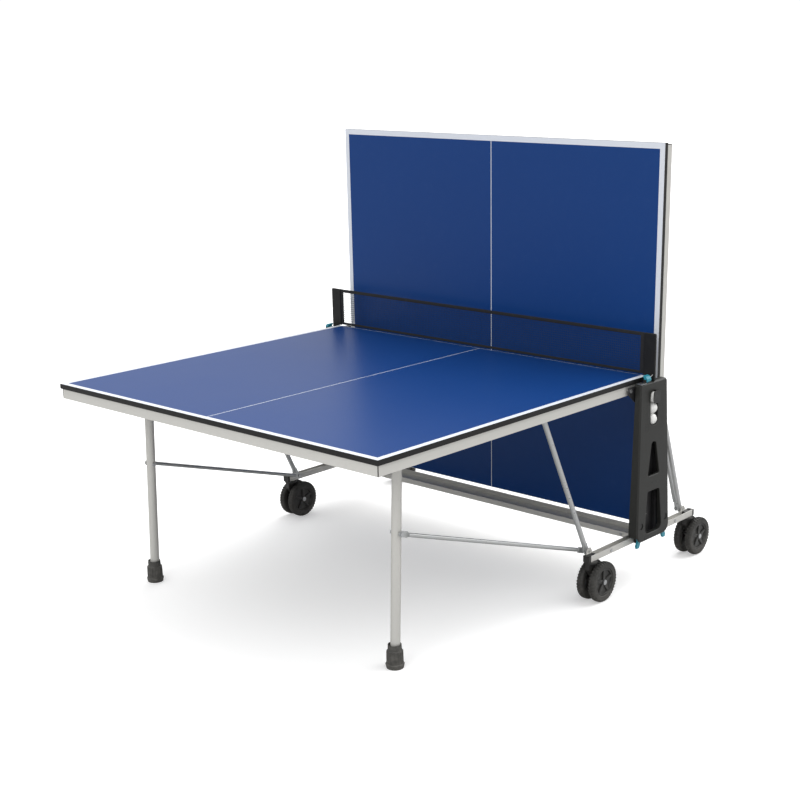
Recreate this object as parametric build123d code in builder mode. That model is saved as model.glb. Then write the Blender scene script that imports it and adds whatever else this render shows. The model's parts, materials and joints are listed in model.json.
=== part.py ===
"""Folding ping pong table on a wheeled base, in millimetres.

X runs across the table, Y along it and Z up from the floor. Everything is drawn with the
net line at Y = 0, and save() then moves it so that the whole table is centred on the origin.
The near half (towards -Y) lies flat for play. The far half (towards +Y) stands upright.
Distances called "reach" run outwards from the net line, distances called "depth" run down
from the playing surface, both with the half lying flat.
"""
import math
import os

from build123d import *

os.makedirs("parts", exist_ok=True)

# Playing surface
table_height = 760
half_span = 1370
board_width = 1525
board_thick = 18
net_gap = 1.5
band_thick = 1.5

# Apron under each board
apron_depth = 35
apron_inset = 5.5
apron_net_inset = 16
apron_sheet = 2
apron_flange = 13

# Where a half stands when it is folded
folded_face = 70
folded_edge = 184

# Base frame
rail_center = 761
rail_width = 26
rail_top = 180
rail_height = 23
rail_half_length = 331
channel_sheet = 2.5
beam_width = 96
beam_height = 20
screw_head_radius = 6
screw_head_height = 3

# Linkage pivots
base_pivot_reach = 305
base_pivot_height = 182
stay_depth = 36
leg_pivot_reach = 1119
leg_pivot_depth = 44
leg_lean = 2.5
carriage_pin_depth = 36

# Legs, link rods and stays
leg_center = 602
leg_radius = 16
tube_wall = 1.5
foot_height = 80
foot_base_height = 14
foot_shoulder_height = 19
foot_neck_height = 60
foot_collar_height = 64
foot_socket_floor = 14
foot_bottom_radius = 31
foot_shoulder_radius = 26
foot_neck_radius = 25
foot_top_radius = 22
rod_radius = 7
rod_plate = 4
rod_plate_width = 20
stay_radius = 9
stay_plate = 5
stay_plate_width = 24
flat_length = 30
rod_overlap = 2
stay_overlap = 6
pin_radius = 4
pin_head_radius = 7
pin_head_height = 4
thin_head_height = 3
ear_thick = 4

# Carriages and their guide channels
carriage_plate = 3
carriage_plate_gap = 2
slider_width = 27
slider_height = 60
slider_drop = 25
slider_depth = 14
plate_margin = 5
guide_center = 52
guide_sheet = 2
guide_top = 738

# Pillars
pillar_top = 745
pillar_bottom = 166
pillar_top_half = 84
pillar_bottom_half = 105
pillar_outer_top = 797
pillar_outer_bottom = 813
pillar_wall = 4
slot_top = 713
slot_side_gap = 3
slot_end_gap = 6
knob_reach = 78
knob_height = 228
knob_radius = 12

# Balls
ball_radius = 20
ball_center = 788
ball_count = 3
chute_wall = 2
catch_width = 44
catch_height = 46
catch_level = 691
catch_corner = 8

# Casters
caster_reach = 316
caster_trail = 38
wheel_radius = 73
wheel_width = 24
wheel_pair_width = 74
tyre_inner_radius = 50
tyre_bevel = 5
hub_width = 18
hub_rim = 6
hub_boss_radius = 14
spoke_count = 5
spoke_width = 12
axle_radius = 6
axle_cap_radius = 9
axle_cap_height = 4
fork_width = 18
fork_pad_radius = 24
fork_pad_height = 6
fork_eye_half = 15
fork_tip_half = 8
fork_tip_drop = 14
fork_root_drop = 24
fork_root_reach = 30
fork_tail_reach = 20
stem_radius = 5.5
stem_rise = 18

# Net
net_height = 152.5
net_half_width = 746
net_lift = 5
net_thick = 1
post_inner = 748
post_outer = 798
post_thick = 9
post_corner = 5
post_bevel = 2
post_lift = 3

# Hooks and clips
hook_thick = 8
hook_center = 801
hook_pin_radius = 2.5
clip_reach = 35
clip_length = 24
clip_center = 789

# Clearances
running_fit = 0.05
working_gap = 0.6
open_gap = 0.7
seat_gap = 0.05
rod_side_gap = 2.5
stay_side_gap = 1
head_gap = 0.6
cut_margin = 1

# Derived positions
board_length = half_span - net_gap
rail_inner = rail_center - rail_width / 2
rail_outer = rail_center + rail_width / 2
rail_bottom = rail_top - rail_height
apron_face = board_width / 2 - apron_inset
stay_center = apron_face - apron_flange - stay_radius - stay_side_gap
carriage_inner = board_width / 2 + carriage_plate_gap
carriage_outer = carriage_inner + carriage_plate
guide_inner = rail_outer
guide_outer = guide_inner + slider_depth + guide_sheet + working_gap
folded_zero = folded_edge - net_gap
carriage_pin_reach = folded_face + carriage_pin_depth
far_extent = caster_reach + caster_trail + wheel_radius
frame_shift = (half_span - far_extent) / 2
slot_half_width = ball_radius + slot_side_gap
slot_bottom = slot_top - 2 * ball_radius * ball_count - slot_end_gap

# The stay is the same length in both positions
stay_rise = table_height - stay_depth - base_pivot_height
stay_lean = folded_face + stay_depth - base_pivot_reach
stay_offset = folded_zero - base_pivot_height
stay_pivot_reach = (base_pivot_reach**2 + stay_rise**2 - stay_lean**2 - stay_offset**2) / (
    2 * (base_pivot_reach + stay_offset)
)

# Pivots as (reach, height) with the half flat and with it folded
base_pivot = Vector(base_pivot_reach, base_pivot_height)
stay_pivot_flat = Vector(stay_pivot_reach, table_height - stay_depth)
stay_pivot_folded = Vector(folded_face + stay_depth, folded_zero + stay_pivot_reach)
leg_pivot_flat = Vector(leg_pivot_reach, table_height - leg_pivot_depth)
leg_pivot_folded = Vector(folded_face + leg_pivot_depth, folded_zero + leg_pivot_reach)

# The legs stay parallel to themselves, and the rod joint is where its length never changes
leg_down = Vector(math.sin(math.radians(leg_lean)), -math.cos(math.radians(leg_lean)))
flat_square = (leg_pivot_flat - base_pivot).length ** 2
folded_square = (leg_pivot_folded - base_pivot).length ** 2
rod_joint_drop = (flat_square - folded_square) / (2 * leg_down.dot(leg_pivot_folded - leg_pivot_flat))
rod_joint_flat = leg_pivot_flat + leg_down * rod_joint_drop
rod_joint_folded = leg_pivot_folded + leg_down * rod_joint_drop
leg_length = (table_height - leg_pivot_depth) / math.cos(math.radians(leg_lean))

# Work planes of the two halves: local x across, y away from the net edge, z out of the surface
near_half = Plane(origin=(0, -net_gap, table_height), x_dir=(-1, 0, 0), z_dir=(0, 0, 1))
far_half = Plane(origin=(0, folded_face, folded_edge), x_dir=(1, 0, 0), z_dir=(0, -1, 0))
near_end = -1
far_end = 1
ends = (near_end, far_end)
sides = (-1, 1)


def save(body, node):
    """Labels a finished sub-part, moves it to the shared frame and writes its file."""
    placed = Pos(0, frame_shift, 0) * body.part
    placed.label = node
    export_step(placed, f"parts/{node}.step")


def facing_x(x, y, z):
    """Work plane that faces along X, with local x along Y and local y up."""
    return Plane(origin=(x, y, z), x_dir=(0, 1, 0), z_dir=(1, 0, 0))


def block(low, high, mode=Mode.ADD):
    """Box between two corners."""
    size = [b - a for a, b in zip(low, high)]
    middle = Vector(*low) + Vector(*size) / 2
    with Locations(middle):
        Box(*size, mode=mode)


def disc(x_from, x_to, radius, y, z, mode=Mode.ADD):
    """Round piece along X from one x value to another."""
    with BuildSketch(facing_x(x_from, y, z)) as section:
        Circle(radius)
    extrude(section.sketch, amount=x_to - x_from, mode=mode)


def bar(start, finish, radius, mode=Mode.ADD):
    """Round bar between two points."""
    path = Vector(*finish) - Vector(*start)
    with BuildSketch(Plane(origin=start, z_dir=path)) as section:
        Circle(radius)
    extrude(section.sketch, amount=path.length, mode=mode)


def spot_at(pivot, toward, distance):
    """Point a distance from one pivot on the way to another."""
    return pivot + (toward - pivot).normalized() * distance


def flat_end(x_from, thick, width, end, pivot, toward):
    """Flattened end of a link: a plate, rounded at its pivot, that points to the other pivot."""
    aim = (toward - pivot).normalized()
    turn = math.degrees(math.atan2(aim.Y, end * aim.X))
    with BuildSketch(facing_x(x_from, end * pivot.X, pivot.Y)) as plate:
        Circle(width / 2)
        with Locations((end * aim.X * flat_length / 2, aim.Y * flat_length / 2)):
            Rectangle(flat_length, width, rotation=turn)
    extrude(plate.sketch, amount=thick)


def outer_x(z, inset=0):
    """Where the sloping outer face of a pillar is at height z."""
    slope = (pillar_outer_bottom - pillar_outer_top) / (pillar_top - pillar_bottom)
    return pillar_outer_top + slope * (pillar_top - z) - inset


# Boards ---------------------------------------------------------------------------------


def make_board(half):
    with BuildPart() as board:
        with BuildSketch(half.offset(-board_thick)):
            with Locations((0, board_length / 2)):
                Rectangle(board_width - 2 * band_thick, board_length - 2 * band_thick)
        extrude(amount=board_thick)
    return board


def make_band(half):
    with BuildPart() as band:
        with BuildSketch(half.offset(-board_thick)):
            with Locations((0, board_length / 2)):
                Rectangle(board_width, board_length)
                Rectangle(
                    board_width - 2 * band_thick,
                    board_length - 2 * band_thick,
                    mode=Mode.SUBTRACT,
                )
        extrude(amount=board_thick)
    return band


def apron_ring(half, depth, thick, wall):
    """Ring of sheet metal that follows the apron outline."""
    length = board_length - apron_inset - apron_net_inset
    with BuildSketch(half.offset(-depth)) as ring:
        with Locations((0, apron_net_inset + length / 2)):
            Rectangle(2 * apron_face, length)
            Rectangle(2 * (apron_face - wall), length - 2 * wall, mode=Mode.SUBTRACT)
    extrude(ring.sketch, amount=thick)


def make_apron(half):
    apron_bottom = board_thick + apron_depth
    with BuildPart() as apron:
        apron_ring(half, apron_bottom, apron_depth, apron_sheet)
        apron_ring(half, apron_bottom, apron_sheet, apron_flange)
        apron_ring(half, board_thick + apron_sheet, apron_sheet, apron_flange)
    return apron


# The strip under the board that carries the leg brackets, with a pair of cheeks at each leg
cheek_thick = 3
cheek_gap = 1
cheek_half_length = 20
cheek_overhang = 14
cheek_depth = leg_pivot_depth + cheek_overhang
strip_margin = 5
strip_end_gap = 2
strip_half_width = apron_face - apron_flange - strip_end_gap
cheek_inner = leg_radius + cheek_gap


def make_leg_mounts(half):
    spot = leg_pivot_reach - net_gap
    with BuildPart() as mounts:
        with BuildSketch(half.offset(-board_thick - cheek_thick)):
            with Locations((0, spot)):
                Rectangle(2 * strip_half_width, 2 * (cheek_half_length + strip_margin))
        extrude(amount=cheek_thick)
        with BuildSketch(half.offset(-cheek_depth)):
            for side in sides:
                for face in sides:
                    with Locations((side * leg_center + face * (cheek_inner + cheek_thick / 2), spot)):
                        Rectangle(cheek_thick, 2 * cheek_half_length)
        extrude(amount=cheek_depth - board_thick)
        across = Plane(
            origin=half.from_local_coords((0, spot, -leg_pivot_depth)), z_dir=(1, 0, 0)
        )
        with BuildSketch(across):
            Circle(pin_radius + seat_gap)
        extrude(amount=strip_half_width, both=True, mode=Mode.SUBTRACT)
    return mounts


def make_half_pins(end, carriage_pivot, stay_pivot, leg_pivot):
    """Carriage pins, stay pins and leg bolts that are fixed to one half."""
    cheek_outer = cheek_inner + cheek_thick
    stay_inner = stay_center - stay_plate / 2
    with BuildPart() as pins:
        y, z = end * carriage_pivot.X, carriage_pivot.Y
        disc(apron_face, carriage_outer + head_gap, pin_radius, y, z)
        disc(carriage_outer + head_gap, carriage_outer + head_gap + thin_head_height, pin_head_radius, y, z)
        y, z = end * stay_pivot.X, stay_pivot.Y
        disc(stay_inner - head_gap, apron_face - apron_sheet, pin_radius, y, z)
        disc(stay_inner - head_gap - pin_head_height, stay_inner - head_gap, pin_head_radius, y, z)
        disc(stay_center + stay_radius, apron_face - apron_sheet, pin_head_radius, y, z)
        y, z = end * leg_pivot.X, leg_pivot.Y
        disc(leg_center - cheek_outer, leg_center + cheek_outer, pin_radius, y, z)
        for face in sides:
            near_face = leg_center + face * cheek_outer
            disc(near_face, near_face + face * pin_head_height, pin_head_radius, y, z)
        mirror(about=Plane.YZ)
    return pins


def make_carriages(end, pivot):
    """Slider blocks and the plates that reach out to the carriage pins."""
    slider_middle = pivot.Y - slider_drop
    plate_low = slider_middle - slider_height / 2
    plate_high = pivot.Y + pin_head_radius + plate_margin
    slider_inner = guide_center - slider_width / 2
    slider_outer = guide_center + slider_width / 2
    tip = pivot.X + pin_head_radius + plate_margin
    with BuildPart() as carriages:
        with BuildSketch(facing_x(carriage_inner, 0, 0)):
            with BuildLine():
                Polyline(
                    (end * slider_inner, plate_low),
                    (end * slider_outer, plate_low),
                    (end * tip, pivot.Y - pin_head_radius - plate_margin),
                    (end * tip, plate_high),
                    (end * slider_inner, plate_high),
                    close=True,
                )
            make_face()
            with Locations((end * pivot.X, pivot.Y)):
                Circle(pin_radius + running_fit, mode=Mode.SUBTRACT)
        extrude(amount=carriage_plate)
        block(
            (carriage_outer, end * guide_center - slider_width / 2, slider_middle - slider_height / 2),
            (
                guide_inner + slider_depth,
                end * guide_center + slider_width / 2,
                slider_middle + slider_height / 2,
            ),
        )
        mirror(about=Plane.YZ)
    return carriages


# Legs, rods and stays -------------------------------------------------------------------

rod_upper_x = leg_center + leg_radius + rod_side_gap
rod_lower_x = stay_center - stay_radius - 2 * rod_plate
leg_above_pivot = 14


def on_leg(end, pivot, distance):
    """Point on a leg's axis, a distance down from its pivot."""
    spot = pivot + leg_down * distance
    return (leg_center, end * spot.X, spot.Y)


def make_legs(end, pivot, joint):
    lowest = leg_length - foot_socket_floor
    with BuildPart() as legs:
        bar(on_leg(end, pivot, -leg_above_pivot), on_leg(end, pivot, lowest), leg_radius)
        bar(
            on_leg(end, pivot, -leg_above_pivot - cut_margin),
            on_leg(end, pivot, lowest + cut_margin),
            leg_radius - tube_wall,
            mode=Mode.SUBTRACT,
        )
        for hole in (pivot, joint):
            disc(
                leg_center - 2 * leg_radius,
                leg_center + 2 * leg_radius,
                pin_radius + running_fit,
                end * hole.X,
                hole.Y,
                mode=Mode.SUBTRACT,
            )
        mirror(about=Plane.YZ)
    return legs


def make_feet(end, pivot):
    drop = table_height - leg_pivot_depth
    reach = pivot.X + drop * math.tan(math.radians(leg_lean))
    ground = (leg_center, end * reach, pivot.Y - drop)
    with BuildPart() as feet:
        with BuildSketch(Plane(origin=ground, x_dir=(1, 0, 0), z_dir=(0, -1, 0))):
            with BuildLine():
                Polyline(
                    (0, 0),
                    (foot_bottom_radius, 0),
                    (foot_bottom_radius, foot_base_height),
                    (foot_shoulder_radius, foot_shoulder_height),
                    (foot_neck_radius, foot_neck_height),
                    (foot_top_radius, foot_collar_height),
                    (foot_top_radius, foot_height),
                    (0, foot_height),
                    close=True,
                )
            make_face()
        revolve(axis=Axis(ground, (0, 0, 1)))
        bar(
            on_leg(end, pivot, leg_length - foot_socket_floor),
            on_leg(end, pivot, leg_length - 2 * foot_height),
            leg_radius + seat_gap,
            mode=Mode.SUBTRACT,
        )
        mirror(about=Plane.YZ)
    return feet


def make_leg_bolts(end, joint):
    y, z = end * joint.X, joint.Y
    bolt_end = rod_upper_x + rod_plate + head_gap
    with BuildPart() as bolts:
        disc(leg_center - leg_radius, bolt_end, pin_radius, y, z)
        disc(leg_center - leg_radius - pin_head_height, leg_center - leg_radius, pin_head_radius, y, z)
        disc(bolt_end, bolt_end + pin_head_height, pin_head_radius, y, z)
        mirror(about=Plane.YZ)
    return bolts


def make_rods(end, joint):
    """Link rods: pinned to the legs, with a capped end beside the base pivot."""
    upper_middle = rod_upper_x + rod_radius
    lower_middle = rod_lower_x + rod_plate - rod_radius
    upper = spot_at(joint, base_pivot, flat_length - rod_overlap)
    lower = spot_at(base_pivot, joint, flat_length - rod_overlap)
    with BuildPart() as rods:
        flat_end(rod_upper_x, rod_plate, rod_plate_width, end, joint, base_pivot)
        flat_end(rod_lower_x, rod_plate, rod_plate_width, end, base_pivot, joint)
        bar((upper_middle, end * upper.X, upper.Y), (lower_middle, end * lower.X, lower.Y), rod_radius)
        disc(
            rod_upper_x - cut_margin,
            rod_upper_x + rod_plate + cut_margin,
            pin_radius + running_fit,
            end * joint.X,
            joint.Y,
            mode=Mode.SUBTRACT,
        )
        cap_y, cap_z = end * base_pivot.X, base_pivot.Y
        disc(rod_lower_x - pin_head_height, rod_lower_x, pin_head_radius, cap_y, cap_z)
        disc(rod_lower_x + rod_plate, rod_lower_x + 2 * rod_plate - open_gap, pin_head_radius, cap_y, cap_z)
        mirror(about=Plane.YZ)
    return rods


def make_stays(end, pivot):
    """Stays: pinned to the apron, with a capped end beside the base pivot."""
    plate_inner = stay_center - stay_plate / 2
    upper = spot_at(pivot, base_pivot, flat_length - stay_overlap)
    lower = spot_at(base_pivot, pivot, flat_length - stay_overlap)
    with BuildPart() as stays:
        flat_end(plate_inner, stay_plate, stay_plate_width, end, pivot, base_pivot)
        flat_end(plate_inner, stay_plate, stay_plate_width, end, base_pivot, pivot)
        bar((stay_center, end * upper.X, upper.Y), (stay_center, end * lower.X, lower.Y), stay_radius)
        disc(
            plate_inner - cut_margin,
            plate_inner + stay_plate + cut_margin,
            pin_radius + running_fit,
            end * pivot.X,
            pivot.Y,
            mode=Mode.SUBTRACT,
        )
        disc(
            plate_inner - pin_head_height,
            plate_inner,
            pin_head_radius,
            end * base_pivot.X,
            base_pivot.Y,
        )
        mirror(about=Plane.YZ)
    return stays


# Both halves ----------------------------------------------------------------------------

carriage_pivot_flat = Vector(carriage_pin_reach, table_height - carriage_pin_depth)
carriage_pivot_folded = Vector(carriage_pin_reach, folded_zero + carriage_pin_reach)
halves = (
    (
        "near",
        near_end,
        near_half,
        carriage_pivot_flat,
        stay_pivot_flat,
        leg_pivot_flat,
        rod_joint_flat,
    ),
    (
        "far",
        far_end,
        far_half,
        carriage_pivot_folded,
        stay_pivot_folded,
        leg_pivot_folded,
        rod_joint_folded,
    ),
)
for name, end, half, carriage_pivot, stay_pivot, leg_pivot, rod_joint in halves:
    save(make_board(half), f"{name}_board")
    save(make_band(half), f"{name}_edge_band")
    save(make_apron(half), f"{name}_apron")
    save(make_leg_mounts(half), f"{name}_leg_mounts")
    save(make_half_pins(end, carriage_pivot, stay_pivot, leg_pivot), f"{name}_pins")
    save(make_carriages(end, carriage_pivot), f"{name}_carriages")
    save(make_legs(end, leg_pivot, rod_joint), f"{name}_legs")
    save(make_feet(end, leg_pivot), f"{name}_feet")
    save(make_leg_bolts(end, rod_joint), f"{name}_leg_bolts")
    save(make_rods(end, rod_joint), f"{name}_rods")
    save(make_stays(end, stay_pivot), f"{name}_stays")

# Base frame -----------------------------------------------------------------------------

ear_half = 16
ear_rise = 15
ear_root = rail_bottom + 1
with BuildPart() as side_rails:
    block((rail_inner, -rail_half_length, rail_bottom), (rail_outer, rail_half_length, rail_top))
    block(
        (rail_inner + channel_sheet, -rail_half_length, rail_bottom + channel_sheet),
        (rail_outer - channel_sheet, rail_half_length, rail_top),
        mode=Mode.SUBTRACT,
    )
    for end in ends:
        with Locations((rail_center, end * caster_reach, rail_bottom)):
            Cylinder(stem_radius + open_gap, 4 * channel_sheet, mode=Mode.SUBTRACT)
        with BuildSketch(facing_x(rail_inner - ear_thick, end * base_pivot_reach, 0)):
            with BuildLine():
                Polyline(
                    (-ear_half, ear_root),
                    (ear_half, ear_root),
                    (ear_half, base_pivot_height),
                    (ear_half / 2, base_pivot_height + ear_rise),
                    (-ear_half / 2, base_pivot_height + ear_rise),
                    (-ear_half, base_pivot_height),
                    close=True,
                )
            make_face()
        extrude(amount=ear_thick)
        disc(
            rail_inner - ear_thick,
            rail_inner + channel_sheet,
            pin_radius + seat_gap,
            end * base_pivot_reach,
            base_pivot_height,
            mode=Mode.SUBTRACT,
        )
    mirror(about=Plane.YZ)
save(side_rails, "side_rails")

beam_bottom = rail_top - beam_height
with BuildPart() as cross_beam:
    block((-rail_inner, -beam_width / 2, beam_bottom), (rail_inner, beam_width / 2, rail_top))
    block(
        (-rail_inner, -beam_width / 2 + channel_sheet, beam_bottom + channel_sheet),
        (rail_inner, beam_width / 2 - channel_sheet, rail_top),
        mode=Mode.SUBTRACT,
    )
save(cross_beam, "cross_beam")

beam_bolt_x = 705
rail_bolt_y = 210
with BuildPart() as frame_bolts:
    for end in ends:
        start = Plane(
            origin=(beam_bolt_x, end * beam_width / 2, beam_bottom + beam_height / 2),
            z_dir=(0, end, 0),
        )
        with BuildSketch(start):
            RegularPolygon(screw_head_radius, 6)
        extrude(amount=screw_head_height)
        with BuildSketch(facing_x(rail_outer, end * rail_bolt_y, rail_top - rail_height / 2)):
            RegularPolygon(screw_head_radius, 6)
        extrude(amount=screw_head_height)
    mirror(about=Plane.YZ)
save(frame_bolts, "frame_bolts")

stay_outer = stay_center + stay_plate / 2
with BuildPart() as base_pins:
    for end in ends:
        y = end * base_pivot_reach
        disc(stay_outer + open_gap, rail_inner, pin_radius, y, base_pivot_height)
        disc(
            stay_outer + open_gap,
            rail_inner - ear_thick,
            pin_head_radius,
            y,
            base_pivot_height,
        )
    mirror(about=Plane.YZ)
save(base_pins, "base_pins")

# Pillars --------------------------------------------------------------------------------


def pillar_outline(inset, floor):
    """Tapered outline of a pillar seen from the side, as a filled face."""
    lean = (pillar_bottom_half - pillar_top_half) / (pillar_top - pillar_bottom)
    high = pillar_top - inset
    top_half = pillar_top_half - inset + lean * inset
    bottom_half = top_half + lean * (high - floor)
    corners = ((-bottom_half, floor), (bottom_half, floor), (top_half, high), (-top_half, high))
    Polygon(*corners, align=None)


def slope_block(inset, low, high, reach):
    """Keeps only what lies inside the sloping outer face."""
    with BuildSketch(Plane.XZ) as section:
        with BuildLine():
            Polyline(
                (rail_outer - 1, low),
                (outer_x(low, inset), low),
                (outer_x(high, inset), high),
                (rail_outer - 1, high),
                close=True,
            )
        make_face()
    extrude(section.sketch, amount=reach, both=True, mode=Mode.INTERSECT)


def faces_out(face):
    """True for a face that looks away from the table."""
    return face.normal_at().X > 0.9


def tapered_opening(low, high, low_half, high_half, low_radius, high_radius):
    """Opening in a pillar between two heights, narrower at its top and round at its corners."""
    with BuildSketch(facing_x(collar_start, 0, 0)) as opening:
        Polygon((-low_half, low), (low_half, low), (high_half, high), (-high_half, high), align=None)
        fillet(opening.vertices().group_by(Axis.Y)[0], low_radius)
        fillet(opening.vertices().group_by(Axis.Y)[-1], high_radius)
    return opening.sketch


cavity_low = pillar_bottom - 40
collar_start = guide_outer + 5
triangle_opening = tapered_opening(404, 526, 37, 13, 7, 11)
window_opening = tapered_opening(191, 347, 54, 38, 22, 8)
collar_wall = 2.5
pillar_depth = pillar_outer_bottom - rail_outer
with BuildPart() as pillar_cavity:
    with BuildSketch(facing_x(rail_outer - 1, 0, 0)):
        pillar_outline(pillar_wall, cavity_low)
    extrude(amount=pillar_depth + 2)
    slope_block(pillar_wall, cavity_low - 1, pillar_top, 2 * pillar_bottom_half)
    for opening in (triangle_opening, window_opening):
        extrude(offset(opening, collar_wall, mode=Mode.PRIVATE), amount=pillar_depth, mode=Mode.SUBTRACT)

screw_spots = ((-13, 377), (13, 377), (-60, 181), (60, 181), (-62, 722), (62, 722))
screw_radius = 3
corner_radius = 12
foot_corner_radius = 34
outline_bevel = 5
opening_bevel = 1.5
ear_outer = clip_length / 2 + working_gap + cheek_thick
ear_back = 6
ear_front = 5
clip_pivot = pillar_top + 7
with BuildPart() as pillars:
    with BuildSketch(facing_x(rail_outer, 0, 0)):
        pillar_outline(0, pillar_bottom)
    extrude(amount=pillar_depth)
    slope_block(0, pillar_bottom - 1, pillar_top + 1, 2 * pillar_bottom_half)
    fillet(pillars.edges().filter_by(Axis.X).group_by(Axis.Z)[-1], corner_radius)
    fillet(pillars.edges().filter_by(Axis.X).group_by(Axis.Z)[0], foot_corner_radius)
    outer_face = pillars.faces().filter_by(faces_out).sort_by(Axis.X)[-1]
    chamfer(outer_face.outer_wire().edges(), outline_bevel)
    add(pillar_cavity.part, mode=Mode.SUBTRACT)
    with BuildSketch(facing_x(collar_start, 0, 0)) as slot:
        with Locations((0, (slot_top + slot_bottom) / 2)):
            SlotOverall(slot_top - slot_bottom, 2 * slot_half_width, rotation=90)
    for opening in (slot.sketch, triangle_opening, window_opening):
        extrude(opening, amount=2 * pillar_depth, both=True, mode=Mode.SUBTRACT)
    outer_face = pillars.faces().filter_by(faces_out).sort_by(Axis.X)[-1]
    for opening in outer_face.inner_wires():
        chamfer(opening.edges(), opening_bevel)
    with BuildSketch(facing_x(rail_outer + slider_depth, 0, 0)):
        with Locations((-knob_reach, knob_height), (knob_reach, knob_height)):
            Circle(knob_radius + seat_gap)
        with Locations(*screw_spots):
            Circle(screw_radius + seat_gap)
    extrude(amount=pillar_depth, mode=Mode.SUBTRACT)
    for face in sides:
        ear_y = -clip_reach + face * ear_outer
        block(
            (clip_center - ear_back, min(ear_y, ear_y - face * cheek_thick), pillar_top - 1),
            (clip_center + ear_front, max(ear_y, ear_y - face * cheek_thick), clip_pivot + ear_front),
        )
    with BuildSketch(Plane(origin=(clip_center, -clip_reach, clip_pivot), z_dir=(0, 1, 0))):
        Circle(hook_pin_radius + seat_gap)
    extrude(amount=2 * clip_length, both=True, mode=Mode.SUBTRACT)
    mirror(about=Plane.YZ)
save(pillars, "pillars")

guide_half = slider_width / 2 + working_gap / 2
web_top = slot_bottom - 12
with BuildPart() as pillar_guides:
    for end in ends:
        low_y = end * guide_center - guide_half
        high_y = end * guide_center + guide_half
        block((guide_inner, low_y - guide_sheet, rail_bottom), (guide_outer, high_y + guide_sheet, guide_top))
        block(
            (guide_inner, low_y, rail_bottom),
            (guide_outer - guide_sheet, high_y, guide_top),
            mode=Mode.SUBTRACT,
        )
    web_half = guide_center - guide_half
    block((guide_inner, -web_half, rail_bottom), (guide_inner + guide_sheet, web_half, web_top))
    mirror(about=Plane.YZ)
save(pillar_guides, "pillar_guides")

chute_inner = ball_radius + working_gap
chute_outer = chute_inner + chute_wall
chute_floor = 3
chute_headroom = 10
chute_notch = 2
ball_floor = slot_bottom + 1
chute_front = outer_x(slot_top) - pillar_wall - working_gap
catch_start = ball_center + ball_radius + working_gap
with BuildPart() as ball_chutes:
    with BuildSketch(Plane.XY.offset(ball_floor - chute_floor)):
        with Locations((ball_center, 0)):
            Circle(chute_outer)
        with Locations(((ball_center + chute_front) / 2, 0)):
            Rectangle(chute_front - ball_center, 2 * chute_outer)
        with Locations((chute_front + chute_outer, 0)):
            Rectangle(2 * chute_outer, 4 * chute_outer, mode=Mode.SUBTRACT)
    extrude(amount=chute_floor)
    with BuildSketch(Plane.XY.offset(ball_floor)):
        with Locations((ball_center, 0)):
            Circle(chute_outer)
        with Locations(((ball_center + chute_front) / 2, 0)):
            Rectangle(chute_front - ball_center, 2 * chute_outer)
        with Locations((ball_center, 0)):
            Circle(chute_inner, mode=Mode.SUBTRACT)
        with Locations((ball_center + chute_inner, 0)):
            Rectangle(2 * chute_inner, 2 * chute_inner, mode=Mode.SUBTRACT)
        with Locations((chute_front + chute_outer, 0)):
            Rectangle(2 * chute_outer, 4 * chute_outer, mode=Mode.SUBTRACT)
    extrude(amount=slot_top + chute_headroom - ball_floor)
    # The catch in front of the upper ball stands on an arm that comes out through the slot
    block(
        (chute_front - chute_notch, chute_inner, catch_level - catch_height / 2),
        (catch_start, chute_outer, catch_level - chute_notch),
    )
    with BuildSketch(facing_x(catch_start, chute_outer - catch_width / 2, catch_level)) as catch:
        RectangleRounded(catch_width, catch_height, catch_corner)
    extrude(catch.sketch, amount=chute_wall)
    mirror(about=Plane.YZ)
save(ball_chutes, "ball_chutes")

with BuildPart() as balls:
    for number in range(ball_count):
        height = ball_floor + ball_radius + seat_gap + number * (2 * ball_radius + seat_gap)
        for side in sides:
            with Locations((side * ball_center, 0, height)):
                Sphere(ball_radius)
save(balls, "balls")

knob_inner = hook_center + hook_thick / 2 + working_gap
knob_recess = 2.5
pin_tail = 2
with BuildPart() as pillar_pins:
    for end in ends:
        y = end * knob_reach
        disc(hook_center - hook_thick / 2 - pin_tail, knob_inner, hook_pin_radius, y, knob_height)
        disc(knob_inner, outer_x(knob_height) - knob_recess, knob_radius, y, knob_height)
    with BuildSketch(Plane(origin=(clip_center, -clip_reach, clip_pivot), z_dir=(0, 1, 0))):
        Circle(hook_pin_radius)
    extrude(amount=ear_outer, both=True)
    mirror(about=Plane.YZ)
save(pillar_pins, "pillar_pins")

latch_corners = ((-56, 226), (-48, 221), (-20, 260), (-24, 264))
latch_thick = 3
with BuildPart() as latch_rods:
    with BuildSketch(facing_x(guide_outer, 0, 0)):
        Polygon(*latch_corners, align=None)
    extrude(amount=latch_thick)
    mirror(about=Plane.YZ)
save(latch_rods, "latch_rods")

screw_recess = 0.5
with BuildPart() as pillar_screws:
    for y, z in screw_spots:
        disc(outer_x(z) - pillar_wall, outer_x(z) - screw_recess, screw_radius, y, z)
    mirror(about=Plane.YZ)
save(pillar_screws, "pillar_screws")

hook_points = ((70, 237), (85, 237), (85, 172), (94, 158), (92, 146), (78, 146), (71, 160))
for side, side_name in zip(sides, ("left", "right")):
    for end, end_name in zip(ends, ("near", "far")):
        with BuildPart() as hook:
            with BuildSketch(facing_x(side * hook_center - hook_thick / 2, 0, 0)):
                with BuildLine():
                    Polyline(*[(end * y, z) for y, z in hook_points], close=True)
                make_face()
                with Locations((end * knob_reach, knob_height)):
                    Circle(hook_pin_radius + running_fit, mode=Mode.SUBTRACT)
            extrude(amount=hook_thick)
        save(hook, f"hook_{end_name}_{side_name}")

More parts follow.
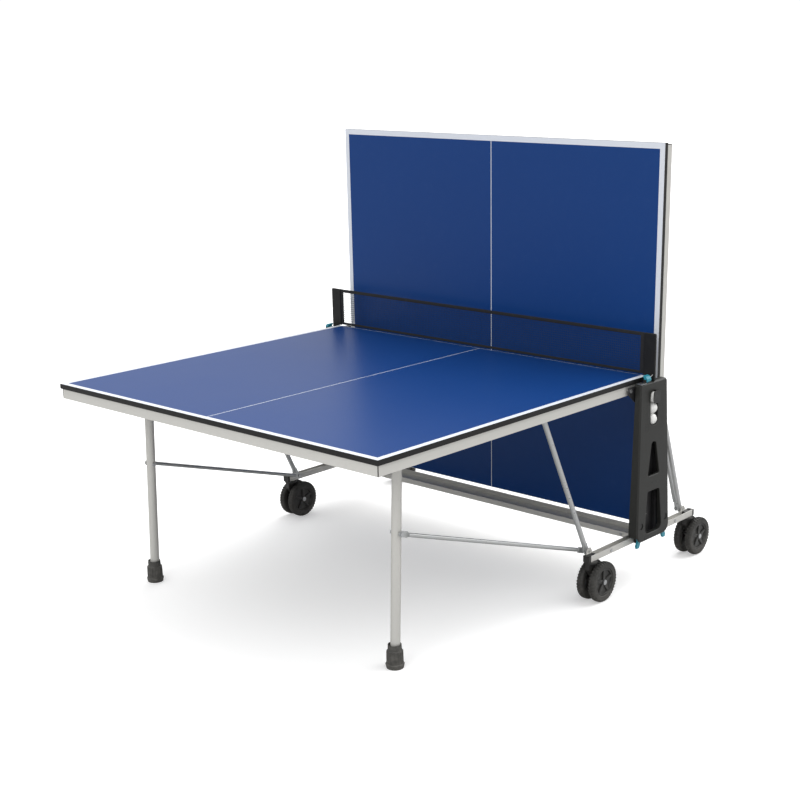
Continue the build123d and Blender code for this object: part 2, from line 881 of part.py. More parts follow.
clip_hub = 6.4
clip_points = ((-6, -1), (6.2, -1), (9, 1), (8, 8), (2, 16), (-8, 19), (-11, 15), (-6, 8))
for side, side_name in zip(sides, ("left", "right")):
    with BuildPart() as clip:
        middle = (side * clip_center, -clip_reach, clip_pivot)
        with BuildSketch(Plane(origin=middle, x_dir=(side, 0, 0), z_dir=(0, -side, 0))):
            with BuildLine():
                Polyline(*clip_points, close=True)
            make_face()
            Circle(clip_hub)
            Circle(hook_pin_radius + running_fit, mode=Mode.SUBTRACT)
        extrude(amount=clip_length / 2, both=True)
    save(clip, f"clip_{side_name}")

# Net ------------------------------------------------------------------------------------

net_top = table_height + net_height
with BuildPart() as net_posts:
    block(
        (board_width / 2 + carriage_plate_gap, -post_thick / 2, pillar_top),
        (post_outer, post_thick / 2, net_top),
    )
    block(
        (post_inner, -post_thick / 2, table_height + post_lift),
        (board_width / 2 + carriage_plate_gap, post_thick / 2, net_top),
    )
    fillet(net_posts.edges().filter_by(Axis.Y).group_by(Axis.Z)[-1], post_corner)
    chamfer(net_posts.edges().filter_by(Axis.Z).group_by(Axis.X)[-1], post_bevel)
    mirror(about=Plane.YZ)
save(net_posts, "net_posts")

with BuildPart() as net:
    block((-post_inner, -net_thick / 2, table_height + net_lift), (post_inner, net_thick / 2, net_top))
save(net, "net")

# Rail ends and casters -------------------------------------------------------------------

end_cap = 12
end_gap = 0.1
block_behind_stem = 20
block_low = rail_bottom + channel_sheet
block_high = rail_top - 2
with BuildPart() as end_blocks:
    for end in ends:
        inner_y = end * (caster_reach - block_behind_stem)
        cap_y = end * rail_half_length
        tip_y = end * (rail_half_length + end_cap)
        block(
            (rail_inner + channel_sheet + end_gap, min(inner_y, cap_y), block_low),
            (rail_outer - channel_sheet - end_gap, max(inner_y, cap_y), block_high),
        )
        block((rail_inner, min(cap_y, tip_y), rail_bottom), (rail_outer, max(cap_y, tip_y), rail_top))
        with Locations((rail_center, end * caster_reach, block_low)):
            Cylinder(stem_radius + running_fit, 2 * stem_rise, mode=Mode.SUBTRACT)
    mirror(about=Plane.YZ)
save(end_blocks, "end_blocks")

wheel_gap = wheel_pair_width - 2 * wheel_width
pad_top = rail_bottom - open_gap
pad_bottom = pad_top - fork_pad_height
for side, side_name in zip(sides, ("left", "right")):
    for end, end_name in zip(ends, ("near", "far")):
        name = f"{end_name}_{side_name}"
        x = side * rail_center
        swivel_y = end * caster_reach
        wheel_y = swivel_y + caster_trail
        cap_face = wheel_pair_width / 2 - (wheel_width - hub_width) / 2 + working_gap

        with BuildPart() as fork:
            with Locations((x, swivel_y, (pad_top + pad_bottom) / 2)):
                Cylinder(fork_pad_radius, fork_pad_height)
            with Locations((x, swivel_y, pad_top + stem_rise / 2)):
                Cylinder(stem_radius, stem_rise)
            with BuildSketch(facing_x(x - fork_width / 2, swivel_y, 0)):
                with BuildLine():
                    Polyline(
                        (-fork_tail_reach, pad_bottom),
                        (fork_root_reach, pad_bottom),
                        (caster_trail + fork_eye_half, wheel_radius),
                        (caster_trail + fork_tip_half, wheel_radius - fork_tip_drop),
                        (caster_trail - fork_tip_half, wheel_radius - fork_tip_drop),
                        (caster_trail - fork_eye_half, wheel_radius),
                        (-fork_tail_reach, pad_bottom - fork_root_drop),
                        close=True,
                    )
                make_face()
                with Locations((caster_trail, wheel_radius)):
                    Circle(axle_radius + seat_gap, mode=Mode.SUBTRACT)
            extrude(amount=fork_width)
        save(fork, f"fork_{name}")

        with BuildPart() as axle:
            disc(x - cap_face, x + cap_face, axle_radius, wheel_y, wheel_radius)
            for face in sides:
                cap_x = x + face * cap_face
                disc(cap_x, cap_x + face * axle_cap_height, axle_cap_radius, wheel_y, wheel_radius)
        save(axle, f"axle_{name}")

        with BuildPart() as tyres:
            for face in sides:
                middle = x + face * (wheel_gap + wheel_width) / 2
                with BuildSketch(facing_x(middle - wheel_width / 2, wheel_y, wheel_radius)):
                    Circle(wheel_radius)
                extrude(amount=wheel_width)
            chamfer(tyres.edges().filter_by(GeomType.CIRCLE), tyre_bevel)
            disc(
                x - wheel_pair_width,
                x + wheel_pair_width,
                tyre_inner_radius,
                wheel_y,
                wheel_radius,
                mode=Mode.SUBTRACT,
            )
        save(tyres, f"tyres_{name}")

        with BuildPart() as hubs:
            for face in sides:
                middle = x + face * (wheel_gap + wheel_width) / 2
                with BuildSketch(facing_x(middle - hub_width / 2, wheel_y, wheel_radius)):
                    Circle(tyre_inner_radius)
                    Circle(tyre_inner_radius - hub_rim, mode=Mode.SUBTRACT)
                    with PolarLocations((tyre_inner_radius - hub_rim / 2) / 2, spoke_count, start_angle=90):
                        Rectangle(tyre_inner_radius - hub_rim / 2, spoke_width)
                    Circle(hub_boss_radius)
                    Circle(axle_radius + running_fit, mode=Mode.SUBTRACT)
                extrude(amount=hub_width)
        save(hubs, f"hubs_{name}")
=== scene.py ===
# %% [markdown]
# A folding ping pong table with one half down for play and one half stood up on its edge.
# The CAD model is the fixed frame. It already has every part at its real size and place, so
# this file gives those parts their finishes and models what CAD leaves plain: the knotted
# net, the treaded tyres, the dished hubs, the ribbed feet, the balls and small trim.

import json
import math

import bmesh
import bpy
from mathutils import Matrix, Vector


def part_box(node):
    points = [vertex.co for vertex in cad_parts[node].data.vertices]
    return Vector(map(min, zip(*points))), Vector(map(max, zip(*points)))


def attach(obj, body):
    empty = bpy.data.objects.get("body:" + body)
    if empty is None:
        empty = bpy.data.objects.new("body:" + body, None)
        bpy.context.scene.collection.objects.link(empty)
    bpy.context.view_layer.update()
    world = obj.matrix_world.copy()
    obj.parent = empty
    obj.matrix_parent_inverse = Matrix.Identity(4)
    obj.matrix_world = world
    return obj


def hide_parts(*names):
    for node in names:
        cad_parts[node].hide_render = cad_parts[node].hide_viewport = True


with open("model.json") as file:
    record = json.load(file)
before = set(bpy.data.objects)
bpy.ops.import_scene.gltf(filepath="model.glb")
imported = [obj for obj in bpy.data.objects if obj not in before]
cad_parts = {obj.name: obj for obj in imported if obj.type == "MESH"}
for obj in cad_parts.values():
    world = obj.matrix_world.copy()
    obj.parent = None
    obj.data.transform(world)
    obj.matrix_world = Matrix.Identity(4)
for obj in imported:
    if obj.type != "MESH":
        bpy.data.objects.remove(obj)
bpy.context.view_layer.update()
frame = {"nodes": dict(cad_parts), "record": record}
nodes = frame["nodes"]

# %% [markdown]
# Where the pieces are is read from the frame once and given plain names. `box` gives the
# lowest and highest corner of a CAD node, so nothing has to be measured again by hand.

# %% Places read from the frame
X = 0


def box(node):
    low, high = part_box(node)
    return Vector(low), Vector(high)


band_low, band_high = box("near_edge_band")
half_width = band_high.x
table_top = band_high.z
outer_end = band_low.y
far_low, far_high = box("far_edge_band")
far_face = far_low.y
far_top = far_high.z
net_low, net_high = box("net")
net_line = (net_low.y + net_high.y) / 2
print("table top at", round(table_top, 3), "m, net line at y =", round(net_line, 4))

# %% [markdown]
# The camera looks across the flat half towards the folded half, from the near right. It is
# made first, so that every later render is framed in the same way. A long lens keeps the
# perspective calm. The turn is built from three plain turns: up or down, round the
# vertical, and a small roll about the line of sight.

# %% The camera
camera_place = Vector((3.432, -3.661, 1.874))
camera_yaw = math.radians(40.27)
camera_pitch = math.radians(-17.64)
camera_roll = math.radians(-0.4)

bpy.ops.object.camera_add(location=camera_place)
camera = bpy.context.object
camera.name = "camera"
turn = (
    Matrix.Rotation(camera_yaw, 4, "Z")
    @ Matrix.Rotation(math.pi / 2 + camera_pitch, 4, "X")
    @ Matrix.Rotation(camera_roll, 4, "Z")
)
camera.matrix_world = Matrix.Translation(camera_place) @ turn
camera.data.lens = 63.74
camera.data.shift_x = -0.084
camera.data.shift_y = 0.119
bpy.context.scene.camera = camera
print("camera at", [round(v, 3) for v in camera_place])

# %% [markdown]
# A product table stands on a white sweep under soft light. Three things light it. A dome,
# bright overhead and dim near the horizon, fills every shadow and keeps upright faces
# darker than flat ones. A broad sun high behind the table throws the soft shadow to the
# front. A wide lamp low at the front lifts the faces that look towards the viewer. A sun
# is used for the main light because its light doesn't fade with distance, so the floor
# stays evenly white out to the horizon.

# %% Floor, dome and lamps
bpy.context.scene.view_settings.view_transform = "Standard"

horizon_light = 0.60
overhead_light = 1.10
overhead_from = 0.8
backdrop_light = 1.05
floor_size = 400
sun_direction = (0.3, 2.4, 3.0)
sun_strength = 2.0
sun_width = math.radians(75)
fill_place = (1.5, -6.0, 3.6)
fill_target = (0, 0, 0.8)
fill_size = 3.0
fill_power = 90

world = bpy.data.worlds.new("studio_dome")
world.use_nodes = True
bpy.context.scene.world = world
sky = world.node_tree
dome = sky.nodes["Background"]
direction = sky.nodes.new("ShaderNodeTexCoord").outputs["Generated"]
split = sky.nodes.new("ShaderNodeSeparateXYZ")
sky.links.new(direction, split.inputs[0])
rise = sky.nodes.new("ShaderNodeMapRange")
rise.inputs["From Min"].default_value = 0.0
rise.inputs["From Max"].default_value = overhead_from
rise.inputs["To Min"].default_value = horizon_light
rise.inputs["To Max"].default_value = overhead_light
sky.links.new(split.outputs["Z"], rise.inputs["Value"])
sky.links.new(rise.outputs[0], dome.inputs["Strength"])
backdrop = sky.nodes.new("ShaderNodeBackground")
backdrop.inputs["Strength"].default_value = backdrop_light
seen = sky.nodes.new("ShaderNodeMixShader")
sky.links.new(sky.nodes.new("ShaderNodeLightPath").outputs["Is Camera Ray"], seen.inputs[0])
sky.links.new(dome.outputs[0], seen.inputs[1])
sky.links.new(backdrop.outputs[0], seen.inputs[2])
sky.links.new(seen.outputs[0], sky.nodes["World Output"].inputs["Surface"])
for shade in (dome, backdrop):
    shade.inputs["Color"].default_value = (1, 1, 1, 1)

bpy.ops.object.select_all(action="DESELECT")
bpy.ops.mesh.primitive_plane_add(size=floor_size, location=(0, 0, 0))
floor = bpy.context.object
floor.name = "floor"


def aimed(light, place, target):
    aim = Vector(target) - Vector(place)
    light.rotation_euler = aim.to_track_quat("-Z", "Y").to_euler()
    return light


bpy.ops.object.light_add(type="SUN", location=(0.6, 3.0, 5.0))
sun = aimed(bpy.context.object, sun_direction, (0, 0, 0))
sun.name = "high_back_sun"
sun.data.energy = sun_strength
sun.data.angle = sun_width
bpy.ops.object.light_add(type="AREA", location=fill_place)
fill = aimed(bpy.context.object, fill_place, fill_target)
fill.name = "front_fill"
fill.data.size = fill_size
fill.data.energy = fill_power

# %% [markdown]
# Every finish on the table has something in common with the others: a little change of
# tone, a fine relief, and marks from use. Those are made once as shader node groups and
# placed in each material with that material's own values. A group gives only colours,
# masks and heights. The shader itself stays in the material.

# %% Helpers for node groups


def new_group(name, inputs, outputs):
    group = bpy.data.node_groups.new(name, "ShaderNodeTree")
    for label, kind, value in inputs:
        socket = group.interface.new_socket(label, in_out="INPUT", socket_type=kind)
        socket.default_value = value
    for label, kind in outputs:
        group.interface.new_socket(label, in_out="OUTPUT", socket_type=kind)
    return group, group.nodes.new("NodeGroupInput"), group.nodes.new("NodeGroupOutput")


def math_node(tree, operation, a, b=None):
    node = tree.nodes.new("ShaderNodeMath")
    node.operation = operation
    for socket, value in zip(node.inputs, (a, b)):
        if isinstance(value, (int, float)):
            socket.default_value = value
        elif value is not None:
            tree.links.new(value, socket)
    return node.outputs[0]


def noise_node(tree, vector, scale, detail=4.0):
    node = tree.nodes.new("ShaderNodeTexNoise")
    node.inputs["Detail"].default_value = detail
    tree.links.new(vector, node.inputs["Vector"])
    if isinstance(scale, (int, float)):
        node.inputs["Scale"].default_value = scale
    else:
        tree.links.new(scale, node.inputs["Scale"])
    return node.outputs[0]


def mix_node(tree, factor, a, b, blend="MIX"):
    node = tree.nodes.new("ShaderNodeMix")
    node.data_type = "RGBA"
    node.blend_type = blend
    for socket, value in ((node.inputs[0], factor), (node.inputs[6], a), (node.inputs[7], b)):
        if isinstance(value, (int, float)):
            socket.default_value = value
        elif isinstance(value, tuple):
            socket.default_value = (*value, 1)
        else:
            tree.links.new(value, socket)
    return node.outputs[2]


# %% The grain group: tone, roughness and relief
FLOAT, COLOR = "NodeSocketFloat", "NodeSocketColor"

grain, grain_in, grain_out = new_group(
    "surface_grain",
    (
        ("Color", COLOR, (1, 1, 1, 1)),
        ("Spread", FLOAT, 0.1),
        ("Scale", FLOAT, 400),
        ("Roughness", FLOAT, 0.5),
    ),
    (("Color", COLOR), ("Roughness", FLOAT), ("Height", FLOAT)),
)
coordinates = grain.nodes.new("ShaderNodeTexCoord").outputs["Object"]
fine = noise_node(grain, coordinates, grain_in.outputs["Scale"])
broad = noise_node(grain, coordinates, 3.5, 2.0)
half_fine = math_node(grain, "MULTIPLY", fine, 0.5)
half_broad = math_node(grain, "MULTIPLY", broad, 0.5)
both = math_node(grain, "ADD", half_fine, half_broad)
swing = math_node(grain, "MULTIPLY", math_node(grain, "SUBTRACT", both, 0.5), grain_in.outputs["Spread"])
tone = math_node(grain, "ADD", math_node(grain, "MULTIPLY", swing, 2.0), 1.0)
shade = grain.nodes.new("ShaderNodeCombineColor")
for socket in shade.inputs[:3]:
    grain.links.new(tone, socket)
tinted = mix_node(grain, 1.0, grain_in.outputs["Color"], shade.outputs[0], "MULTIPLY")
rough = math_node(grain, "ADD", grain_in.outputs["Roughness"], math_node(grain, "MULTIPLY", swing, 1.5))
grain.links.new(tinted, grain_out.inputs["Color"])
grain.links.new(rough, grain_out.inputs["Roughness"])
grain.links.new(fine, grain_out.inputs["Height"])

# %% The rub group: faint marks from handling
rub, rub_in, rub_out = new_group(
    "handling_marks",
    (("Scale", FLOAT, 30), ("Amount", FLOAT, 0.2)),
    (("Mask", FLOAT),),
)
coordinates = rub.nodes.new("ShaderNodeTexCoord").outputs["Object"]
patches = noise_node(rub, coordinates, rub_in.outputs["Scale"], 6.0)
specks = noise_node(rub, coordinates, math_node(rub, "MULTIPLY", rub_in.outputs["Scale"], 12.0), 2.0)
joined = math_node(rub, "MULTIPLY", patches, specks)
cut = rub.nodes.new("ShaderNodeMapRange")
cut.inputs["From Min"].default_value = 0.30
cut.inputs["From Max"].default_value = 0.42
rub.links.new(joined, cut.inputs["Value"])
rub.links.new(math_node(rub, "MULTIPLY", cut.outputs[0], rub_in.outputs["Amount"]), rub_out.inputs["Mask"])

# %% The dust group: more of it near the floor
dust, dust_in, dust_out = new_group(
    "floor_dust",
    (("Reach", FLOAT, 0.2), ("Amount", FLOAT, 0.2)),
    (("Mask", FLOAT),),
)
coordinates = dust.nodes.new("ShaderNodeTexCoord").outputs["Object"]
split = dust.nodes.new("ShaderNodeSeparateXYZ")
dust.links.new(coordinates, split.inputs[0])
share = math_node(dust, "DIVIDE", split.outputs["Z"], dust_in.outputs["Reach"])
lowness = math_node(dust, "SUBTRACT", 1.0, share)
lowness = math_node(dust, "MAXIMUM", lowness, 0.0)
blotch = noise_node(dust, coordinates, 60.0)
dust.links.new(
    math_node(dust, "MULTIPLY", math_node(dust, "MULTIPLY", lowness, blotch), dust_in.outputs["Amount"]),
    dust_out.inputs["Mask"],
)
print("node groups:", [g.name for g in bpy.data.node_groups])

# %% [markdown]
# One function makes each material: a Principled shader whose colour, roughness and relief
# come from the groups. What differs from finish to finish is a row of values, in a maker's
# words, so that a new finish is one more row.

# %% Build a finish from its values


def finish(name, color, rough, metallic=0.0, spread=0.1, scale=400, relief=0.02, marks=0.1,
           marks_color=(0.5, 0.5, 0.5), dust_amount=0.0, coat=0.0, specular=0.5):
    material = bpy.data.materials.new(name)
    material.use_nodes = True
    tree = material.node_tree
    shader = tree.nodes["Principled BSDF"]
    shader.inputs["Metallic"].default_value = metallic
    shader.inputs["Coat Weight"].default_value = coat
    shader.inputs["Specular IOR Level"].default_value = specular
    base = tree.nodes.new("ShaderNodeGroup")
    base.node_tree = grain
    base.inputs["Color"].default_value = (*color, 1)
    base.inputs["Spread"].default_value = spread
    base.inputs["Scale"].default_value = scale
    base.inputs["Roughness"].default_value = rough
    worn = tree.nodes.new("ShaderNodeGroup")
    worn.node_tree = rub
    worn.inputs["Amount"].default_value = marks
    result = mix_node(tree, worn.outputs["Mask"], base.outputs["Color"], marks_color)
    if dust_amount:
        dusty = tree.nodes.new("ShaderNodeGroup")
        dusty.node_tree = dust
        dusty.inputs["Amount"].default_value = dust_amount
        result = mix_node(tree, dusty.outputs["Mask"], result, (0.42, 0.40, 0.36))
    tree.links.new(result, shader.inputs["Base Color"])
    tree.links.new(base.outputs["Roughness"], shader.inputs["Roughness"])
    bump = tree.nodes.new("ShaderNodeBump")
    bump.inputs["Strength"].default_value = 0.35
    bump.inputs["Distance"].default_value = relief / 1000
    tree.links.new(base.outputs["Height"], bump.inputs["Height"])
    tree.links.new(bump.outputs[0], shader.inputs["Normal"])
    return material


finishes = {
    "steel_light": finish("silver_paint", (0.62, 0.612, 0.58), 0.42, metallic=0.3, spread=0.06, scale=900,
                          relief=0.05, marks=0.05, marks_color=(0.35, 0.34, 0.32)),
    "mount_black": finish("black_paint", (0.014, 0.014, 0.015), 0.45, spread=0.15, scale=900, relief=0.05),
    "carriage_black": finish("black_paint_worn", (0.022, 0.022, 0.024), 0.4, spread=0.2, scale=900, marks=0.3,
                             marks_color=(0.2, 0.2, 0.2)),
    "guide_paint": finish("guide_paint", (0.010, 0.010, 0.011), 0.5, spread=0.15, scale=900, marks=0.2,
                          marks_color=(0.15, 0.15, 0.15)),
    "bolt_steel": finish("zinc_plate", (0.55, 0.56, 0.57), 0.3, metallic=0.95, spread=0.12, scale=700,
                         relief=0.02),
    "rod_steel": finish("galvanised_tube", (0.52, 0.53, 0.53), 0.3, metallic=0.6, spread=0.14, scale=160,
                        relief=0.03, marks=0.08, marks_color=(0.3, 0.3, 0.3)),
    "pillar_plastic": finish("pillar_plastic", (0.0150, 0.0155, 0.0138), 0.46, spread=0.14, scale=1400,
                             relief=0.12, marks=0.03, marks_color=(0.12, 0.12, 0.11), specular=0.42),
    "dark_plastic": finish("black_plastic", (0.010, 0.010, 0.010), 0.42, spread=0.12, scale=1200, relief=0.08,
                           marks=0.05, dust_amount=0.2),
    "post_plastic": finish("post_plastic", (0.007, 0.007, 0.007), 0.5, spread=0.12, scale=1400,
                           relief=0.1, marks=0.02, specular=0.3),
    "foot_rubber": finish("foot_rubber", (0.018, 0.018, 0.017), 0.62, spread=0.2, scale=500, relief=0.1,
                          marks=0.15, marks_color=(0.12, 0.12, 0.11), dust_amount=0.35),
    "tyre_rubber": finish("tyre_rubber", (0.012, 0.012, 0.0115), 0.66, spread=0.2, scale=450, relief=0.12,
                          marks=0.12, marks_color=(0.1, 0.1, 0.09), dust_amount=0.3),
    "hub_plastic": finish("hub_plastic", (0.010, 0.010, 0.010), 0.34, spread=0.12, scale=900, relief=0.05,
                          marks=0.05, dust_amount=0.15),
    "ball_white": finish("ball_white", (0.86, 0.86, 0.84), 0.38, spread=0.03, scale=900, relief=0.02,
                         marks=0.04, marks_color=(0.55, 0.55, 0.5)),
    "accent": finish("turquoise_plastic", (0.030, 0.27, 0.36), 0.34, spread=0.08, scale=900, relief=0.05,
                     marks=0.06, marks_color=(0.2, 0.4, 0.45)),
    "net_mesh": finish("net_cord", (0.010, 0.018, 0.055), 0.75, spread=0.3, scale=1500, relief=0.1,
                       marks=0.02),
}
print(len(finishes), "finishes made from the shared groups")

# %% [markdown]
# The playing surface is blue paint with white lines: 20 mm along the sides and the end, and
# 3 mm down the middle. The lines are part of the paint, so they belong in the material. A
# group turns two distances, across the table and in from its end, into one line mask. Each
# half feeds it with its own axes, because one half lies flat and the other stands up.

# %% The painted lines
line_width = 0.020
centre_line = 0.003

lines, lines_in, lines_out = new_group(
    "painted_lines",
    (("Across", FLOAT, 0.0), ("From End", FLOAT, 1.0)),
    (("Mask", FLOAT),),
)
across = math_node(lines, "ABSOLUTE", lines_in.outputs["Across"])
side_line = math_node(lines, "GREATER_THAN", across, half_width - line_width)
end_line = math_node(lines, "LESS_THAN", lines_in.outputs["From End"], line_width)
middle_line = math_node(lines, "LESS_THAN", across, centre_line / 2)
mask = math_node(lines, "MAXIMUM", math_node(lines, "MAXIMUM", side_line, end_line), middle_line)
lines.links.new(mask, lines_out.inputs["Mask"])

# %% Boards and their edge bands
skin = 0.0004
board_blue = (0.0040, 0.044, 0.195)
line_white = (0.74, 0.77, 0.82)
underside = (0.030, 0.030, 0.032)
band_black = (0.012, 0.012, 0.012)


def board_finish(name, half, field, edge):
    """Paint for one half: field inside the lines on the face, and edge wherever it isn't the face."""
    material = finish(name, field, 0.36, spread=0.05, scale=1100, relief=0.03, marks=0.015,
                      marks_color=(0.2, 0.3, 0.5), specular=0.22)
    tree = material.node_tree
    shader = tree.nodes["Principled BSDF"]
    place = tree.nodes.new("ShaderNodeTexCoord").outputs["Object"]
    parts = tree.nodes.new("ShaderNodeSeparateXYZ")
    tree.links.new(place, parts.inputs[0])
    if half == "near":
        from_end = math_node(tree, "SUBTRACT", parts.outputs["Y"], outer_end)
        on_face = math_node(tree, "GREATER_THAN", parts.outputs["Z"], table_top - skin)
    else:
        from_end = math_node(tree, "SUBTRACT", far_top, parts.outputs["Z"])
        on_face = math_node(tree, "LESS_THAN", parts.outputs["Y"], far_face + skin)
    paint = tree.nodes.new("ShaderNodeGroup")
    paint.node_tree = lines
    tree.links.new(parts.outputs["X"], paint.inputs["Across"])
    tree.links.new(from_end, paint.inputs["From End"])
    field_color = shader.inputs["Base Color"].links[0].from_socket
    painted = mix_node(tree, paint.outputs["Mask"], field_color, line_white)
    whole = mix_node(tree, on_face, edge, painted)
    tree.links.new(whole, shader.inputs["Base Color"])
    return material


board_materials = {}
for half in ("near", "far"):
    board_materials[f"{half}_board"] = board_finish(f"{half}_board_paint", half, board_blue, underside)
    board_materials[f"{half}_edge_band"] = board_finish(f"{half}_edge_paint", half, line_white, band_black)
print("board paints:", list(board_materials))

# %% [markdown]
# Rows of small dots are pressed into each pillar round the ball slot. They are too fine and
# too many to model, so the material makes them: a group turns the place on the pillar's
# side into a lattice of round dots, and keeps only those in a band beside the slot. Each dot
# is also painted darker than the plastic round it, as painted shade in its little hollow.

# %% Pressed dots on the pillars
dot_pitch = 0.0062
dot_radius = 0.0015
dots_low, dots_high = 0.572, 0.668
dots_inner, dots_outer = 0.029, 0.060

dots, dots_in, dots_out = new_group(
    "pressed_dots",
    (("Shift", FLOAT, 0.0),),
    (("Mask", FLOAT), ("Height", FLOAT)),
)
dot_place = dots.nodes.new("ShaderNodeTexCoord").outputs["Object"]
dot_parts = dots.nodes.new("ShaderNodeSeparateXYZ")
dots.links.new(dot_place, dot_parts.inputs[0])
along = math_node(dots, "SUBTRACT", dot_parts.outputs["Y"], dots_in.outputs["Shift"])
up = dot_parts.outputs["Z"]


def from_cell_middle(tree, value):
    cell = math_node(tree, "FRACT", math_node(tree, "DIVIDE", value, dot_pitch))
    return math_node(tree, "MULTIPLY", math_node(tree, "SUBTRACT", cell, 0.5), dot_pitch)


flat_square = math_node(dots, "POWER", math_node(dots, "ABSOLUTE", from_cell_middle(dots, along)), 2.0)
tall_square = math_node(dots, "POWER", math_node(dots, "ABSOLUTE", from_cell_middle(dots, up)), 2.0)
spread_out = math_node(dots, "SQRT", math_node(dots, "ADD", flat_square, tall_square))
in_dot = math_node(dots, "LESS_THAN", spread_out, dot_radius)
side_reach = math_node(dots, "ABSOLUTE", along)
in_band = math_node(dots, "MULTIPLY", math_node(dots, "GREATER_THAN", up, dots_low),
                    math_node(dots, "LESS_THAN", up, dots_high))
beside = math_node(dots, "MULTIPLY", math_node(dots, "GREATER_THAN", side_reach, dots_inner),
                   math_node(dots, "LESS_THAN", side_reach, dots_outer))
dot_mask = math_node(dots, "MULTIPLY", in_dot, math_node(dots, "MULTIPLY", in_band, beside))
dots.links.new(dot_mask, dots_out.inputs["Mask"])
dots.links.new(math_node(dots, "SUBTRACT", 1.0, dot_mask), dots_out.inputs["Height"])

pillar_tree = finishes["pillar_plastic"].node_tree
pillar_shader = pillar_tree.nodes["Principled BSDF"]
pressed = pillar_tree.nodes.new("ShaderNodeGroup")
pressed.node_tree = dots
pressed.inputs["Shift"].default_value = net_line
plain = pillar_shader.inputs["Base Color"].links[0].from_socket
# The dots get a darker colour than the plastic: painted shade in each pressed hollow.
dots_with_painted_shade = mix_node(pillar_tree, pressed.outputs["Mask"], plain, (0.004, 0.004, 0.004))
pillar_tree.links.new(dots_with_painted_shade, pillar_shader.inputs["Base Color"])
dot_bump = pillar_tree.nodes.new("ShaderNodeBump")
dot_bump.inputs["Distance"].default_value = 0.0006
pillar_tree.links.new(pressed.outputs["Height"], dot_bump.inputs["Height"])
pillar_tree.links.new(pillar_shader.inputs["Normal"].links[0].from_socket, dot_bump.inputs["Normal"])
pillar_tree.links.new(dot_bump.outputs[0], pillar_shader.inputs["Normal"])
print("dots pressed into the pillars, one every", dot_pitch * 1000, "mm")

# %% Give every CAD node its finish


def dress(obj, material):
    obj.data.materials.clear()
    obj.data.materials.append(material)


slots = {entry["node"]: entry["material_slot"] for entry in frame["record"]["subparts"]}
for name, obj in nodes.items():
    dress(obj, board_materials.get(name) or finishes[slots[name]])
dress(nodes["pillar_screws"], finishes["mount_black"])
print(len(nodes), "CAD nodes dressed")

# %% [markdown]
# The floor has two jobs. Seen directly it is white card with a little glow of its own, which
# keeps the shadow light. What it throws back up is that of a grey card, so the underside of
# the table stays dark. The Light Path node tells the two kinds of ray apart.

# %% The floor
card_glow = 0.34
grey_bounce = 0.5

floor_finish = finish("studio_floor", (0.85, 0.85, 0.85), 0.9, spread=0.01, scale=20, relief=0.01, marks=0.0,
                      specular=0.0)
floor_tree = floor_finish.node_tree
white_card = floor_tree.nodes["Principled BSDF"]
white_card.inputs["Emission Color"].default_value = (1, 1, 1, 1)
white_card.inputs["Emission Strength"].default_value = card_glow
grey_card = floor_tree.nodes.new("ShaderNodeBsdfDiffuse")
grey_card.inputs["Color"].default_value = (grey_bounce, grey_bounce, grey_bounce, 1)
choice = floor_tree.nodes.new("ShaderNodeMixShader")
floor_tree.links.new(floor_tree.nodes.new("ShaderNodeLightPath").outputs["Is Camera Ray"], choice.inputs[0])
floor_tree.links.new(grey_card.outputs[0], choice.inputs[1])
floor_tree.links.new(white_card.outputs[0], choice.inputs[2])
floor_tree.links.new(choice.outputs[0], floor_tree.nodes["Material Output"].inputs["Surface"])
dress(floor, floor_finish)

# %% [markdown]
# The next helpers shape the new pieces as by hand: add a primitive, go to edit mode, pick
# faces by where they are, run an operator, and come back. Before a primitive is added,
# everything is deselected, because an operator acts on all that is selected.

# %% Modelling helpers


def begin():
    bpy.ops.object.select_all(action="DESELECT")


def chosen(piece):
    """Makes a piece the only one that an operator acts on."""
    begin()
    piece.select_set(True)
    bpy.context.view_layer.objects.active = piece


def settle(name):
    """Names the active piece and puts its place, turn and size into its mesh."""
    piece = bpy.context.object
    piece.name = name
    piece.data.name = name
    bpy.ops.object.transform_apply(location=True, rotation=True, scale=True)
    return piece


def edit(piece):
    chosen(piece)
    bpy.ops.object.mode_set(mode="EDIT")


def done():
    bpy.ops.object.mode_set(mode="OBJECT")


def pick(piece, wanted, kind="faces"):
    """Selects the faces, edges or vertices for which wanted(element) is true, in edit mode."""
    bpy.ops.mesh.select_mode(type={"faces": "FACE", "edges": "EDGE", "verts": "VERT"}[kind])
    bpy.ops.mesh.select_all(action="DESELECT")
    mesh = bmesh.from_edit_mesh(piece.data)
    count = 0
    for element in getattr(mesh, kind):
        if wanted(element):
            element.select_set(True)
            count += 1
    mesh.select_flush_mode()
    bmesh.update_edit_mesh(piece.data)
    return count


def block(name, low, high, bevel=0.0, segments=2):
    """A box between two corners with rounded edges, as a start for a moulded piece."""
    low, high = Vector(low), Vector(high)
    begin()
    bpy.ops.mesh.primitive_cube_add(size=1, location=(low + high) / 2, scale=high - low)
    piece = settle(name)
    if bevel:
        edit(piece)
        bpy.ops.mesh.select_all(action="SELECT")
        bpy.ops.mesh.bevel(offset=bevel, segments=segments, affect="EDGES")
        done()
    return piece


def smooth(piece, degrees=35):
    chosen(piece)
    bpy.ops.object.shade_smooth_by_angle(angle=math.radians(degrees))


def mirrored(piece, name):
    """A copy with its own mesh on the other side of the table's middle plane."""
    chosen(piece)
    bpy.ops.object.duplicate(linked=False)
    copy = bpy.context.object
    copy.scale.x = -1
    copy = settle(name)
    edit(copy)
    bpy.ops.mesh.select_all(action="SELECT")
    bpy.ops.mesh.normals_make_consistent(inside=False)
    done()
    return copy


def copied(piece, name, offset):
    chosen(piece)
    bpy.ops.object.duplicate(linked=False)
    bpy.context.object.location = offset
    return settle(name)


def fit(piece, body, slot, material=None):
    """Gives a new piece its finish, taken from its slot name unless a material is given, and the body that it
    rides on.
    """
    dress(piece, material or finishes[slot])
    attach(piece, body)
    return piece


